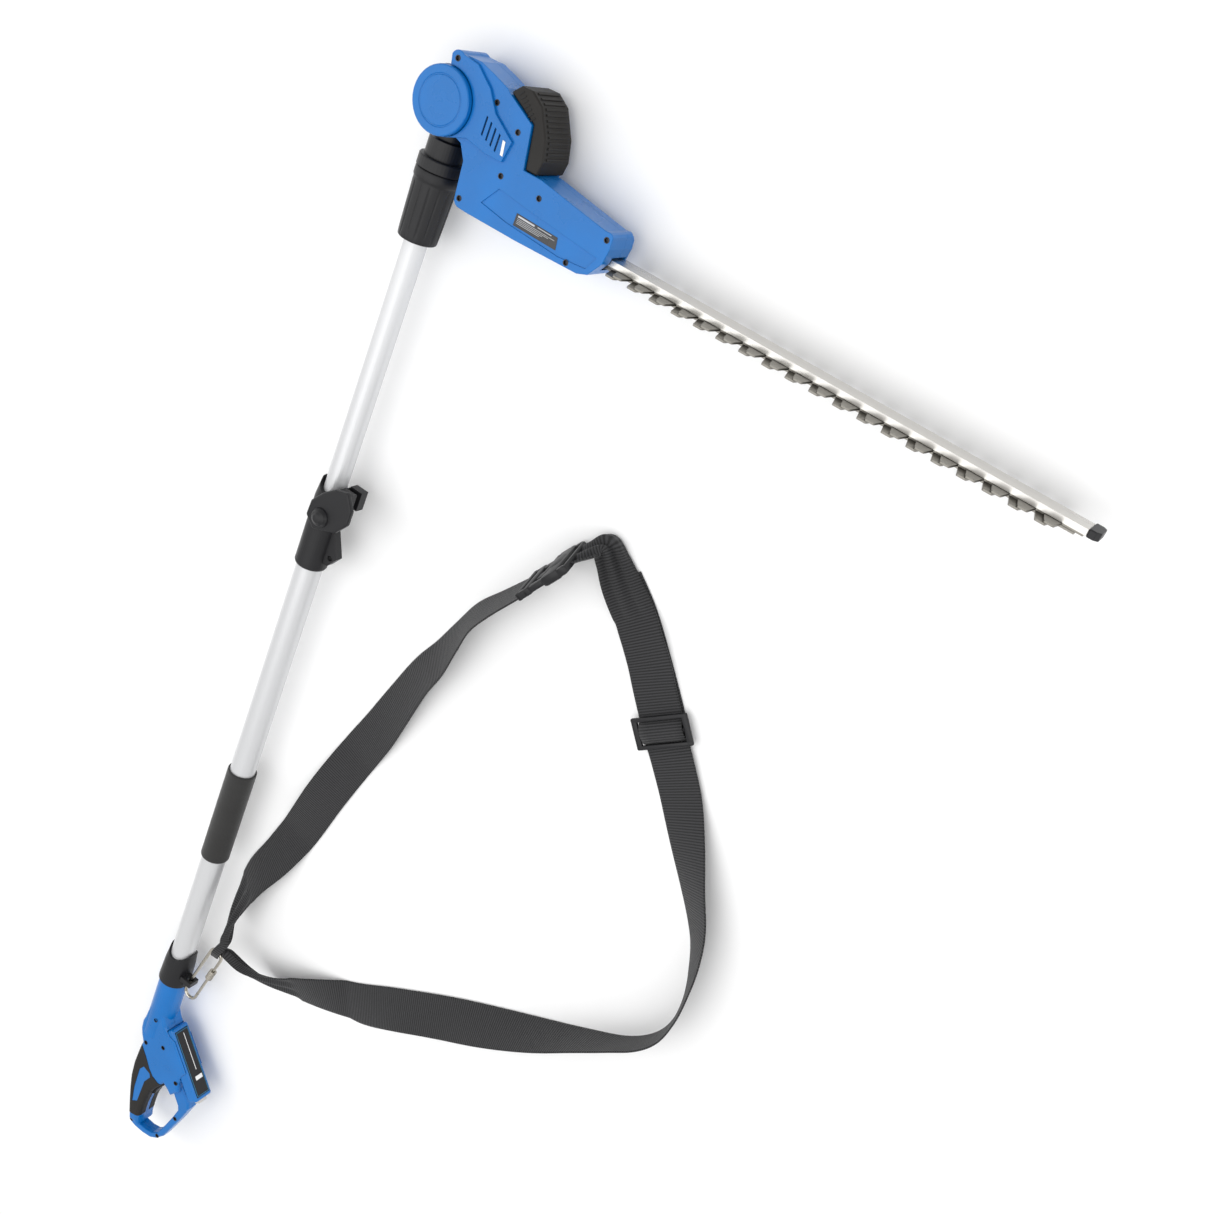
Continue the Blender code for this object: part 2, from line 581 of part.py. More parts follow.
def frame_outline():
    """The slimmer bar in front of the fingers and below them."""
    low = [(-3, -1378), (2, -1398), (4, -1416), (9, -1427), (19, -1429), (33.5, -1428.5), (47, -1425.5)]
    bar = [(56.5, -1418.5), (65.5, -1406), (72.5, -1385), (81.5, -1358), (89, -1331), (86, -1321)]
    return low + bar + [(77, -1312.5), (66, -1303), (50, -1291), (22, -1300)]


def finger_hole():
    return [(42, -1313), (52, -1317.5), (60, -1326.5), (71, -1338.5), (74, -1346), (69.5, -1364), (62.5, -1387),
            (55, -1408), (47, -1416), (36, -1419.5), (22, -1419.5), (17, -1411), (17, -1385), (22, -1350)]


def pad_outline():
    """The soft part of the grip, which wraps its back and its front, around a hard inset."""
    return [(-30, -1287), (-3, -1287), (7, -1298), (17, -1311), (25, -1318), (32, -1320), (50, -1326), (50, -1396),
            (24, -1399), (10, -1403), (-30, -1408)]


def inset_outline():
    return [(3, -1324), (8, -1315), (20, -1318), (22.5, -1323), (16, -1337), (14.5, -1376), (7, -1382), (3.5, -1357)]


def handle_blank(name, look, grow):
    """The upper half of the thick part, grown all round by grow, without its rooms."""
    return rounded_plate(name, look, body_outline(), None, -9.0, GRIP_HALF, grow)


def handle_rooms(tag):
    switch_room = [(-5, -1300), (24, -1300), (24, -1340), (20, -1360), (18, -1372), (3, -1372), (-2, -1357), (-4.8, -1340)]
    wire_room = [(-8, -1238), (14, -1238), (24, -1262), (24, -1301), (-5, -1301), (-3, -1281), (-8, -1264)]
    return [
        plate("switch_room" + tag, None, [switch_room], -12, 11.5),
        plate("wire_room" + tag, None, [wire_room], -12, 11.5),
        plate("trigger_room" + tag, None, [rectangle(9.5, -1359, 46, -1320)], -12, 7.0),
        plate("lock_room" + tag, None, [rectangle(-20, -1318, 0, -1303)], -12, 5.2)]


HANDLE_SCREWS = [(4, -1230, 18.8), (27, -1263, 16), (62, -1299, 16), (74.5, -1361.5, 9), (57, -1412, 9),
                 (10.5, -1421, 9), (-0.5, -1277, 16)]


def make_handle():
    shell = handle_blank("handle_shell_upper", "blue_plastic", 0.0)
    barrel = turned("barrel", None, (0, -1262, 0), "Y", [(0, 96.2), (18.3, 96.2), (18.3, 0), (0, 0)], 36)
    front_bar = rounded_plate("front_bar", None, frame_outline(), finger_hole(), -8.0, FRAME_HALF, 0.0, 3.5, 2.5)
    join(shell, barrel, front_bar)
    cut(shell, block("below", None, (0, -1300, -50 + GAP / 2), (300, 400, 100)),
        rod("tube_room", None, (0, -1240, 0), "Y", 100, LOWER_TUBE_R + GAP, 36),
        block("battery_room", None, battery_frame(0, -10.8, 0), (25, 11, 16.6), BATTERY_ANGLE),
        block("dock", None, battery_frame(30, 11.0, 0), (163, 39.8, BATTERY_SIZE[2] + 0.6), BATTERY_ANGLE))
    cut(shell, *handle_rooms(""))
    recess = plate("pad_recess", None, [pad_outline(), inset_outline()], 3.0, 60)
    cut(recess, handle_blank("recess_core", None, -1.7))
    cut(shell, recess)
    for number, (x, y, top) in enumerate(HANDLE_SCREWS):
        cut(shell, rod("grip_screw_%d" % number, None, (x, y, top - 2.4), "Z", 12, 2.5, 10))
    mirrored(shell, "handle_shell_lower")

    pad = plate("grip_pad_upper", "soft_black", [pad_outline(), inset_outline()], 3.3, 60)
    inside = pad.modifiers.new("inside", "BOOLEAN")
    inside.operation = "INTERSECT"
    inside.solver = "EXACT"
    inside.object = handle_blank("pad_blank", None, 0.4)
    cut(pad, handle_blank("pad_core", None, -1.4), *handle_rooms("_pad"))
    mirrored(pad, "grip_pad_lower")

    bore = LOWER_TUBE_R + GAP
    collar = turned("handle_collar", "black_plastic", (0, -1165.2, 0), "Y",
                    [(17.2, 54), (19.5, 30), (20.4, 6), (20.4, 0), (bore, 0), (bore, 54)], 40)
    eye = block("eye", None, (25.5, SNAP_EYE[1], SNAP_EYE[2]), (17, 7, 15))
    join(collar, eye)
    cut(collar, saddle("collar_saddle", -1105),
        rod("eye_hole", None, (SNAP_EYE[0], -1155, SNAP_EYE[2]), "Y", 20, 4.2, 20))


def make_controls():
    blade = [(14, -1322.5), (31, -1322), (40, -1325), (41, -1329), (36, -1338), (32, -1347), (30.5, -1355),
             (28, -1357), (14, -1357)]
    trigger = plate("trigger", "black_plastic", [blade], -6.4, 6.4)
    bevel(trigger, 1.0, 1, 40)
    block("lock_button", "black_plastic", (-5.8, -1310.5, 0), (11.5, 13.5, 9.4), 0.0, 1.0)
    block("trigger_switch", "soft_black", (3.5, -1337, 0), (12.4, 27, 16))
    coil_body = coil("trigger_spring", "steel", (0.0, 0.0), 0.0, 11.0, 3.2, 0.4, 4)
    coil_body.location = at(8.0, -1364.5, -5.5)
    block("battery_terminals", "black_plastic", battery_frame(0, -11.6, 0), (24, 8.4, 15.6), BATTERY_ANGLE)


def battery_frame(u, v, z):
    """A point in the battery's own axes, u along it and v out of its face, as pole coordinates."""
    cos_a = math.cos(BATTERY_ANGLE)
    sin_a = math.sin(BATTERY_ANGLE)
    x0, y0, z0 = BATTERY_CENTRE
    return (x0 + u * cos_a - v * sin_a, y0 + u * sin_a + v * cos_a, z0 + z)


def make_battery():
    length, thick, width = BATTERY_SIZE
    case = block("battery_case", "blue_plastic", BATTERY_CENTRE, BATTERY_SIZE, BATTERY_ANGLE)
    bevel(case, 3.0, 2)
    cut(case, block("cell_room", None, battery_frame(0, -0.3, 0), (length - 8, 13.2, width - 3.6), BATTERY_ANGLE),
        block("rail_slot", None, battery_frame(-22, -10.8, 0), (70, 8, 18), BATTERY_ANGLE),
        block("panel_recess", None, battery_frame(0, thick / 2, 0), (length - 10, 2.0, width - 6), BATTERY_ANGLE),
        block("latch_room", None, battery_frame(length / 2, 0, 0), (10, 9, 14), BATTERY_ANGLE))
    block("battery_panel", "black_plastic", battery_frame(0, thick / 2 - 0.1, 0), (length - 10.6, 1.0, width - 6.6),
          BATTERY_ANGLE)
    block("battery_latch", "black_plastic", battery_frame(length / 2 + 0.6, 0, 0), (7.0, 8.4, 13.2), BATTERY_ANGLE)
    for index in range(5):
        block("battery_cell_%d" % (index + 1), "cell_foil", battery_frame(-2, 2.6 * index - 5.5, 0), (86, 2.4, 23),
              BATTERY_ANGLE)


# ---- shoulder strap ----------------------------------------------------------------------------

def smooth_run(stations, steps):
    """Catmull-Rom curve through the stations, steps points to each span."""
    run = []
    last = len(stations) - 1
    for i in range(last):
        before = Vector(stations[max(i - 1, 0)])
        one = Vector(stations[i])
        two = Vector(stations[i + 1])
        after = Vector(stations[min(i + 2, last)])
        for k in range(steps):
            t = k / steps
            run.append(0.5 * ((2 * one) + (two - before) * t + (2 * before - 5 * one + 4 * two - after) * t * t
                              + (3 * one - before - 3 * two + after) * t ** 3))
    run.append(Vector(stations[-1]))
    return run


def band(name, stations, steps=3):
    """Webbing along stations of (x, y, lift, roll in degrees, width); roll 0 lies flat on the floor."""
    run = smooth_run(stations, steps)
    bm = bmesh.new()
    rows = []
    for i, (x, y, lift, roll, width) in enumerate(run):
        lift = max(lift, 0.0)
        ahead = run[min(i + 1, len(run) - 1)] - run[max(i - 1, 0)]
        forward = Vector((ahead[0], ahead[1], 0.0)).normalized()
        side = Vector((0, 0, 1)).cross(forward)
        angle = math.radians(roll)
        across = side * math.cos(angle) + Vector((0, 0, 1)) * math.sin(angle)
        normal = Vector((0, 0, 1)) * math.cos(angle) - side * math.sin(angle)
        height = FLOOR + lift + abs(math.sin(angle)) * width / 2 + WEBBING_THICK / 2 + 0.2
        middle = Vector((x, y, height + AXIS_Z))
        rows.append([bm.verts.new((middle + across * a * width / 2 + normal * b * WEBBING_THICK / 2) * MM)
                     for a, b in ((-1, -1), (1, -1), (1, 1), (-1, 1))])
    # both faces are split along the same diagonal, so a twist never crosses them
    for one, two in zip(rows, rows[1:]):
        bm.faces.new((one[0], one[1], two[1]))
        bm.faces.new((one[0], two[1], two[0]))
        bm.faces.new((one[2], one[3], two[2]))
        bm.faces.new((one[3], two[3], two[2]))
        for k in (1, 3):
            bm.faces.new((one[k], one[(k + 1) % 4], two[(k + 1) % 4], two[k]))
    bm.faces.new(rows[0][::-1])
    bm.faces.new(rows[-1])
    obj = mesh_object(name, bm)
    obj.location = (0.0, 0.0, 0.0)
    PARTS.objects.link(obj)
    obj.data.materials.append(material("webbing"))
    return obj


STRAP_LEFT = [(58, -1054, 34, -75, 14), (53, -1040, 24, -62, 26), (46, -1014, 8, -40, 42), (49, -969, 0, -28, 50),
              (67, -919, 0, -12, 50), (85, -859, 0, 4, 50), (100, -799, 0, 10, 50), (118, -733, 0, 1, 50),
              (136, -679, 0, -9, 50), (150, -631, 0, -20, 50), (165, -580, 0, -31, 50), (180, -544, 0, -40, 50),
              (192, -506, 0, -51, 50), (203, -473, 0, -60, 50), (222, -443, 0, -68, 50), (247, -407, 0, -72, 50)]
STRAP_RIGHT = [(305, -319, 4, -36, 28), (319, -334, 4, -26, 34), (338, -354, 4, -13, 42), (370, -385, 3.4, 2, 50),
               (395, -412, 3.4, 0, 50), (414, -436, 3.4, 0, 50), (442, -470, 3, 0, 50), (464, -495, 2, 2, 50),
               (488, -525, 0, 5, 50), (514, -559, 0, 17, 50), (540, -594, 0, 32, 50), (563, -627, 0, 42, 50),
               (577, -656, 0, 54, 50), (586, -690, 0, 65, 50), (591, -722, 0, 75, 50), (589, -755, 0, 84, 50),
               (576, -784, 0, 94, 50), (550, -811, 0, 98, 50), (511, -840, 0, 88, 50), (468, -871, 0, 72, 50),
               (411, -910, 0, 52, 50), (352, -950, 0, 32, 50), (290, -991, 0, 26, 50), (241, -1027, 0, 8, 50),
               (198, -1050, 0, -12, 50), (154, -1069, 2, -30, 48), (120, -1078, 10, -42, 40), (92, -1077, 22, -52, 26),
               (68, -1068, 32, -62, 16)]
STRAP_TAIL = [(330, -352, 0, 0, 50), (360, -376, 0, 0, 50), (395, -413, 0, 0, 50), (424, -446, 0, 0, 50)]


def make_strap():
    band("strap_left", STRAP_LEFT)
    band("strap_right", STRAP_RIGHT)
    band("strap_tail", STRAP_TAIL)
    make_buckle()
    frame = plate("strap_slider", "black_plastic",
                  [rectangle(-33, -17, 33, 17), rectangle(-27, -13, 27, -2.5), rectangle(-27, 2.5, 27, 13)],
                  -2.0, 2.0, (439, -467, FLOOR + 8.2))
    frame.rotation_euler = (0.0, 0.0, math.radians(40.0))


def make_buckle():
    heading = math.radians(58.0)
    tilt = math.radians(-74.0)
    base = Vector((250.0, -402.0, FLOOR + 31.5))
    forward = Vector((math.cos(heading), math.sin(heading), 0.0))
    for name, near, far, width, thick in (("buckle_plug", 1.0, 38.0, 54.0, 9.0), ("buckle_socket", 38.6, 72.0, 60.0, 12.0)):
        middle = base + forward * (near + far) / 2
        piece = block(name, "black_plastic", tuple(middle), (far - near, width, thick))
        piece.rotation_euler = (tilt, 0.0, heading)
        bevel(piece, 2.5, 2)


def snap_point(x, y):
    """World position of a point given along and across the snap hook, from its eye."""
    cos_a = math.cos(SNAP_TILT)
    sin_a = math.sin(SNAP_TILT)
    return (SNAP_EYE[0] + x * cos_a - y * sin_a, SNAP_EYE[1] + x * sin_a + y * cos_a, SNAP_EYE[2])


def make_carabiner():
    """Long snap hook. Its left leg runs through the collar's eye."""
    wire = 2.2
    width = 18.0
    low = -12.0
    high = 68.0
    points = ([(width, 58.0)] + arc(width / 2, high, width / 2, 0, 180, 8)
              + arc(width / 2, low, width / 2, 180, 360, 8) + [(width, -4.0)])
    curve = bpy.data.curves.new("carabiner_hook", "CURVE")
    curve.dimensions = "3D"
    curve.bevel_depth = wire * MM
    curve.bevel_resolution = 2
    curve.use_fill_caps = True
    spline = curve.splines.new("POLY")
    spline.points.add(len(points) - 1)
    for point, (x, y) in zip(spline.points, points):
        point.co = (x * MM, y * MM, 0.0, 1.0)
    place(bpy.data.objects.new("carabiner_hook", curve), SNAP_EYE, "steel", (0.0, 0.0, SNAP_TILT))
    gate = rod("carabiner_gate", "steel", snap_point(width, -3.5), "Y", 61.0, 1.9, 14)
    gate.rotation_euler = (-math.pi / 2, 0.0, SNAP_TILT)
    nut = ring("carabiner_nut", "steel", snap_point(width, 30.0), "Y", 4.2, 2.15, 16, 12)
    nut.rotation_euler = (-math.pi / 2, 0.0, SNAP_TILT)


make_lower_pole()
make_clamp()
make_upper_pole()
make_head_shell()
make_pivot_caps()
make_motor()
make_gearbox()
make_blades()
make_guide_bar()
make_handle()
make_controls()
make_battery()
make_strap()
make_carabiner()
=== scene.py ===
"""Battery pole hedge trimmer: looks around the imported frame. Metres, in the model's own frame."""
import json
import math

import bmesh
import bpy
from mathutils import Matrix, Vector


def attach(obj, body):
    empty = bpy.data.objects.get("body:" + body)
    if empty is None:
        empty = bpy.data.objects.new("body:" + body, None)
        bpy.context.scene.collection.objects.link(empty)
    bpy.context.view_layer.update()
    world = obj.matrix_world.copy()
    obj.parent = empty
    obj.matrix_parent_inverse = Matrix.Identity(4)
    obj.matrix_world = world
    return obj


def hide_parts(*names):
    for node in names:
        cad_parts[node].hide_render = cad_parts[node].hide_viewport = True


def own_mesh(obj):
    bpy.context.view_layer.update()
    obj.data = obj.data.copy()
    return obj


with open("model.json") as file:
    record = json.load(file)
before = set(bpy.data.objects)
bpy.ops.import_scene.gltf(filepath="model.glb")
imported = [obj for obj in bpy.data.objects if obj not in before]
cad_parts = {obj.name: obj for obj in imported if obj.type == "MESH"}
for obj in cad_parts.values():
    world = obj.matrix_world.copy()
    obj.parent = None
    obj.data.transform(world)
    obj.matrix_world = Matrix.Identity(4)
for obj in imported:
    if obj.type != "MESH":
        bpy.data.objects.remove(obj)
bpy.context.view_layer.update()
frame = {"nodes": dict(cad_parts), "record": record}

NODES = frame["nodes"]
MM = 0.001
AXIS_Z = 36.0                      # the pole's axis above the floor
FLOOR = -AXIS_Z


def at(x, y, z=0.0):
    """A point in millimetres from the pole's axis, as a place in the frame."""
    return Vector((x, y, z + AXIS_Z)) * MM


# ---- camera, floor and light ------------------------------------------------------------------

camera_data = bpy.data.cameras.new("camera")
camera_data.sensor_width = 36.0
camera_data.lens = 45.012
camera_data.clip_start = 0.05
camera = bpy.data.objects.new("camera", camera_data)
camera.location = (0.81976, 0.29557, 1.28572)
camera.rotation_euler = [math.radians(angle) for angle in (-15.7572, 29.61384, 24.4578)]
bpy.context.scene.collection.objects.link(camera)
bpy.context.scene.camera = camera


def area_light(name, place, target, size, power):
    data = bpy.data.lights.new(name, "AREA")
    data.shape = "RECTANGLE"
    data.size = size[0]
    data.size_y = size[1]
    data.energy = power
    lamp = bpy.data.objects.new(name, data)
    lamp.location = place
    lamp.rotation_euler = (Vector(target) - Vector(place)).to_track_quat("-Z", "Y").to_euler()
    bpy.context.scene.collection.objects.link(lamp)


area_light("light_top", (0.3, -0.6, 2.6), (0.2, -0.6, 0.0), (2.8, 2.8), 34.0)
area_light("light_side", (2.2, -0.2, 1.1), (0.1, -0.6, 0.05), (1.6, 2.4), 13.0)
area_light("light_left", (-1.8, -0.4, 1.5), (0.0, -0.7, 0.05), (1.4, 2.6), 12.0)

world = bpy.data.worlds.new("studio")
world.use_nodes = True
world.node_tree.nodes["Background"].inputs["Color"].default_value = (1.0, 1.0, 1.0, 1.0)
world.node_tree.nodes["Background"].inputs["Strength"].default_value = 0.72
bpy.context.scene.world = world
bpy.context.scene.view_settings.view_transform = "Standard"      # the photograph has plain display colours


# ---- materials --------------------------------------------------------------------------------

def noise(tree, coordinates, scale, detail, stretch=None):
    """Noise in object space; stretch squeezes the space along each axis first."""
    texture = tree.nodes.new("ShaderNodeTexNoise")
    texture.inputs["Scale"].default_value = scale
    texture.inputs["Detail"].default_value = detail
    if stretch:
        mapping = tree.nodes.new("ShaderNodeMapping")
        mapping.inputs["Scale"].default_value = stretch
        tree.links.new(coordinates, mapping.inputs["Vector"])
        tree.links.new(mapping.outputs["Vector"], texture.inputs["Vector"])
    else:
        tree.links.new(coordinates, texture.inputs["Vector"])
    return texture.outputs["Fac"]


def ranged(tree, value, low, high):
    remap = tree.nodes.new("ShaderNodeMapRange")
    remap.inputs["From Min"].default_value = 0.3
    remap.inputs["From Max"].default_value = 0.7
    remap.inputs["To Min"].default_value = low
    remap.inputs["To Max"].default_value = high
    tree.links.new(value, remap.inputs["Value"])
    return remap.outputs["Result"]


def finish(name, colour, rough, metallic=0.0, grain=1400.0, bump=0.15, vary=0.10, rough_vary=0.08,
           stretch=None, edge=0.0007, coat=0.0, sheen=0.0, specular=0.5, depth=0.00012):
    """Moulded, painted or machined surface: broad tint, fine grain, uneven gloss and softened edges."""
    made = bpy.data.materials.new(name)
    made.use_nodes = True
    tree = made.node_tree
    shader = tree.nodes["Principled BSDF"]
    shader.inputs["Metallic"].default_value = metallic
    shader.inputs["Coat Weight"].default_value = coat
    shader.inputs["Coat Roughness"].default_value = 0.12
    shader.inputs["Sheen Weight"].default_value = sheen
    shader.inputs["Specular IOR Level"].default_value = specular
    coordinates = tree.nodes.new("ShaderNodeTexCoord").outputs["Object"]
    broad = noise(tree, coordinates, 22.0, 4.0, stretch)
    fine = noise(tree, coordinates, grain, 3.0, stretch)
    ramp = tree.nodes.new("ShaderNodeValToRGB")
    ramp.color_ramp.elements[0].position = 0.30
    ramp.color_ramp.elements[1].position = 0.70
    ramp.color_ramp.elements[0].color = [c * (1.0 - vary) for c in colour] + [1.0]
    ramp.color_ramp.elements[1].color = [min(c * (1.0 + vary), 1.0) for c in colour] + [1.0]
    tree.links.new(broad, ramp.inputs["Fac"])
    tree.links.new(ramp.outputs["Color"], shader.inputs["Base Color"])
    tree.links.new(ranged(tree, broad, rough - rough_vary, rough + rough_vary), shader.inputs["Roughness"])
    relief = tree.nodes.new("ShaderNodeBump")
    relief.inputs["Strength"].default_value = bump
    relief.inputs["Distance"].default_value = depth
    tree.links.new(fine, relief.inputs["Height"])
    if edge:
        soft_edge = tree.nodes.new("ShaderNodeBevel")
        soft_edge.samples = 4
        soft_edge.inputs["Radius"].default_value = edge
        tree.links.new(soft_edge.outputs["Normal"], relief.inputs["Normal"])
    tree.links.new(relief.outputs["Normal"], shader.inputs["Normal"])
    return made


def webbing_material(name, colour, pitch):
    """Ribbed webbing with painted shade in its grooves and painted highlight on its ribs. UV runs in metres, u across
    the band and v along it.
    """
    made = bpy.data.materials.new(name)
    made.use_nodes = True
    tree = made.node_tree
    shader = tree.nodes["Principled BSDF"]
    shader.inputs["Sheen Weight"].default_value = 0.12
    shader.inputs["Sheen Roughness"].default_value = 0.5
    shader.inputs["Specular IOR Level"].default_value = 0.3
    where = tree.nodes.new("ShaderNodeTexCoord").outputs["UV"]
    heights = []
    for direction, scale in (("Y", 1.0 / pitch), ("X", 1.0 / (pitch * 0.45))):
        wave = tree.nodes.new("ShaderNodeTexWave")
        wave.wave_type = "BANDS"
        wave.bands_direction = direction
        wave.wave_profile = "SIN"
        wave.inputs["Scale"].default_value = scale * math.pi / 10.0
        wave.inputs["Distortion"].default_value = 0.0
        tree.links.new(where, wave.inputs["Vector"])
        heights.append(wave.outputs["Fac"])
    rib_height_and_shade = tree.nodes.new("ShaderNodeMath")
    rib_height_and_shade.operation = "MULTIPLY_ADD"
    rib_height_and_shade.inputs[1].default_value = 0.25
    tree.links.new(heights[1], rib_height_and_shade.inputs[0])
    tree.links.new(heights[0], rib_height_and_shade.inputs[2])
    fuzz = noise(tree, where, 900.0, 3.0)
    # the colour follows the ribs' height: painted shade in the grooves, painted highlight on the crests
    ramp = tree.nodes.new("ShaderNodeValToRGB")
    ramp.color_ramp.elements[0].color = [c * 0.25 for c in colour] + [1.0]
    ramp.color_ramp.elements[1].color = [c * 2.3 for c in colour] + [1.0]
    tree.links.new(rib_height_and_shade.outputs[0], ramp.inputs["Fac"])
    tree.links.new(ramp.outputs["Color"], shader.inputs["Base Color"])
    tree.links.new(ranged(tree, fuzz, 0.62, 0.86), shader.inputs["Roughness"])
    relief = tree.nodes.new("ShaderNodeBump")
    relief.inputs["Strength"].default_value = 0.8
    relief.inputs["Distance"].default_value = 0.0006
    tree.links.new(rib_height_and_shade.outputs[0], relief.inputs["Height"])
    tree.links.new(relief.outputs["Normal"], shader.inputs["Normal"])
    return made


ALONG_POLE = (1.0, 0.02, 1.0)
ALONG_BLADE = (0.03, 1.0, 1.0)
LOOK = {
    "blue_plastic": finish("blue_plastic", (0.0, 0.145, 0.47), 0.32, bump=0.10, vary=0.07, coat=0.12,
                           specular=0.38),
    "black_plastic": finish("black_plastic", (0.009, 0.009, 0.0105), 0.42, bump=0.30,
                            specular=0.35),
    "latch_grey": finish("latch_grey", (0.60, 0.57, 0.53), 0.38, bump=0.10),
    "soft_black": finish("soft_black", (0.015, 0.0135, 0.012), 0.6, bump=0.55, grain=1100.0, specular=0.3),
    "cable_sheath": finish("cable_sheath", (0.02, 0.02, 0.02), 0.60, bump=0.2),
    "aluminium_tube": finish("aluminium_tube", (0.66, 0.665, 0.675), 0.36, metallic=0.35,
                             stretch=ALONG_POLE,
                             bump=0.12, vary=0.03, edge=0.0),
    "bar_aluminium": finish("bar_aluminium", (0.62, 0.605, 0.575), 0.24, metallic=1.0, stretch=ALONG_BLADE,
                            bump=0.20, vary=0.06),
    "blade_steel": finish("blade_steel", (0.20, 0.19, 0.17), 0.34, metallic=1.0, stretch=ALONG_BLADE,
                          bump=0.25, vary=0.22, edge=0.0004),
    "steel": finish("steel", (0.50, 0.47, 0.41), 0.20, metallic=1.0, bump=0.10, edge=0.0003),
    "cell_foil": finish("cell_foil", (0.6, 0.61, 0.62), 0.35, metallic=0.8),
    "webbing": webbing_material("webbing", (0.0165, 0.0165, 0.0175), 0.0030),
    # white_gloss colours the battery's real print and also the painted highlight strip on the head
    "white_gloss": finish("white_gloss", (0.86, 0.86, 0.86), 0.16, bump=0.05, vary=0.02, coat=0.4),
    "label_dark": finish("label_dark", (0.030, 0.031, 0.034), 0.30, bump=0.05),
    "label_print": finish("label_print", (0.55, 0.56, 0.58), 0.40, bump=0.05),
    # screw_dark colours the screws and also the painted shade lining their recesses
    "screw_dark": finish("screw_dark", (0.05, 0.05, 0.055), 0.35, metallic=0.9, edge=0.0002),
    "foam": finish("foam", (0.013, 0.0125, 0.012), 0.85, bump=0.9, grain=700.0, depth=0.0004, sheen=0.25,
                   edge=0.0),
    "battery_panel": finish("battery_panel", (0.020, 0.021, 0.024), 0.32, bump=0.12),
    "battery_line": finish("battery_line", (0.005, 0.16, 0.30), 0.35, bump=0.05),
    # black_gap colours the painted shade of the motor cover's slots
    "black_gap": finish("black_gap", (0.006, 0.006, 0.006), 0.7, bump=0.1),
}

for part in frame["record"]["subparts"]:
    node = NODES[part["node"]]
    look = LOOK[part["material_slot"]]
    if not node.material_slots:
        node.data.materials.append(look)
    for held in node.material_slots:
        held.material = look


# ---- mesh helpers -----------------------------------------------------------------------------

def finish_piece(name, bm, look, body, smooth=True):
    """Turn a finished mesh into a piece with a look, a body to ride on and a material slot."""
    bmesh.ops.recalc_face_normals(bm, faces=bm.faces)
    mesh = bpy.data.meshes.new(name)
    bm.to_mesh(mesh)
    bm.free()
    for face in mesh.polygons:
        face.use_smooth = smooth
    mesh.materials.append(LOOK[look])
    piece = bpy.data.objects.new(name, mesh)
    bpy.context.scene.collection.objects.link(piece)
    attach(piece, body)
    return piece


def smooth_by_angle(piece, degrees=32.0):
    """Shade smooth, but keep edges sharper than the angle crisp."""
    mesh = piece.data
    limit = math.radians(degrees)
    bm = bmesh.new()
    bm.from_mesh(mesh)
    for edge in bm.edges:
        edge.smooth = not (len(edge.link_faces) == 2 and edge.calc_face_angle(0.0) > limit)
    bm.to_mesh(mesh)
    bm.free()
    return piece


def lathe_into(bm, profile, centre, axis_dir, sides, ripple=None):
    """Turned surface. profile lists (radius, along); ripple(angle, radius, along) changes the radius."""
    turn = Vector((0, 0, 1)).rotation_difference(Vector(axis_dir)).to_matrix().to_4x4()
    place = Matrix.Translation(centre) @ turn
    rings = []
    for radius, along in profile:
        ring = []
        if radius <= 1e-9:
            ring = [bm.verts.new(place @ Vector((0.0, 0.0, along * MM)))]
        else:
            for k in range(sides):
                angle = 2 * math.pi * k / sides
                r = radius if ripple is None else ripple(angle, radius, along)
                local = Vector((r * math.cos(angle), r * math.sin(angle), along))
                ring.append(bm.verts.new(place @ (local * MM)))
        rings.append(ring)
    for one, two in zip(rings, rings[1:]):
        for k in range(sides):
            n = (k + 1) % sides
            if len(one) == 1 and len(two) == 1:
                continue
            if len(one) == 1:
                bm.faces.new((one[0], two[k], two[n]))
            elif len(two) == 1:
                bm.faces.new((one[k], two[0], one[n]))
            else:
                bm.faces.new((one[k], two[k], two[n], one[n]))


def prism_into(bm, outline, low, high, inset=0.0):
    """Upright plate on an outline in millimetres, with its top edge drawn in by inset."""
    centre = Vector((sum(p[0] for p in outline) / len(outline), sum(p[1] for p in outline) / len(outline)))
    levels = [(low, 0.0), (high - inset, 0.0), (high, inset)] if inset else [(low, 0.0), (high, 0.0)]
    rings = []
    for z, shrink in levels:
        ring = []
        for x, y in outline:
            point = Vector((x, y))
            towards = (centre - point)
            point = point + towards.normalized() * shrink
            ring.append(bm.verts.new(at(point.x, point.y, z)))
        rings.append(ring)
    count = len(outline)
    for one, two in zip(rings, rings[1:]):
        for k in range(count):
            n = (k + 1) % count
            bm.faces.new((one[k], one[n], two[n], two[k]))
    bm.faces.new(rings[0][::-1])
    bm.faces.new(rings[-1])


def box_into(bm, matrix, size, bevel=0.0):
    """Box of a size in millimetres under a placing matrix in metres, with bevelled edges."""
    made = bmesh.ops.create_cube(bm, size=1.0)
    verts = made["verts"]
    for vert in verts:
        vert.co = Vector((vert.co.x * size[0], vert.co.y * size[1], vert.co.z * size[2])) * MM
    if bevel:
        edges = {e for v in verts for e in v.link_edges}
        out = bmesh.ops.bevel(bm, geom=list(edges), offset=bevel * MM, segments=2, profile=0.5,
                              affect="EDGES", clamp_overlap=True)
        verts = list({v for f in out["faces"] for v in f.verts} | {v for v in verts if v.is_valid})
    for vert in verts:
        vert.co = matrix @ vert.co


# ---- head details -----------------------------------------------------------------------------

def surface_under(node, x, y):
    """Height above the pole's axis and normal of a node's top surface, in millimetres."""
    hit, place, normal, _ = NODES[node].ray_cast(Vector((x * MM, y * MM, 0.3)), Vector((0, 0, -1)))
    return (place.z / MM - AXIS_Z, normal) if hit else (None, None)


def rim_height(node, x, y, reach):
    """Surface height round a screw hole, the middle one of four places beside it."""
    beside = ((reach, 0), (-reach, 0), (0, reach), (0, -reach))
    found = [surface_under(node, x + dx, y + dy)[0] for dx, dy in beside]
    found = sorted(z for z in found if z is not None)
    return found[len(found) // 2] if found else None


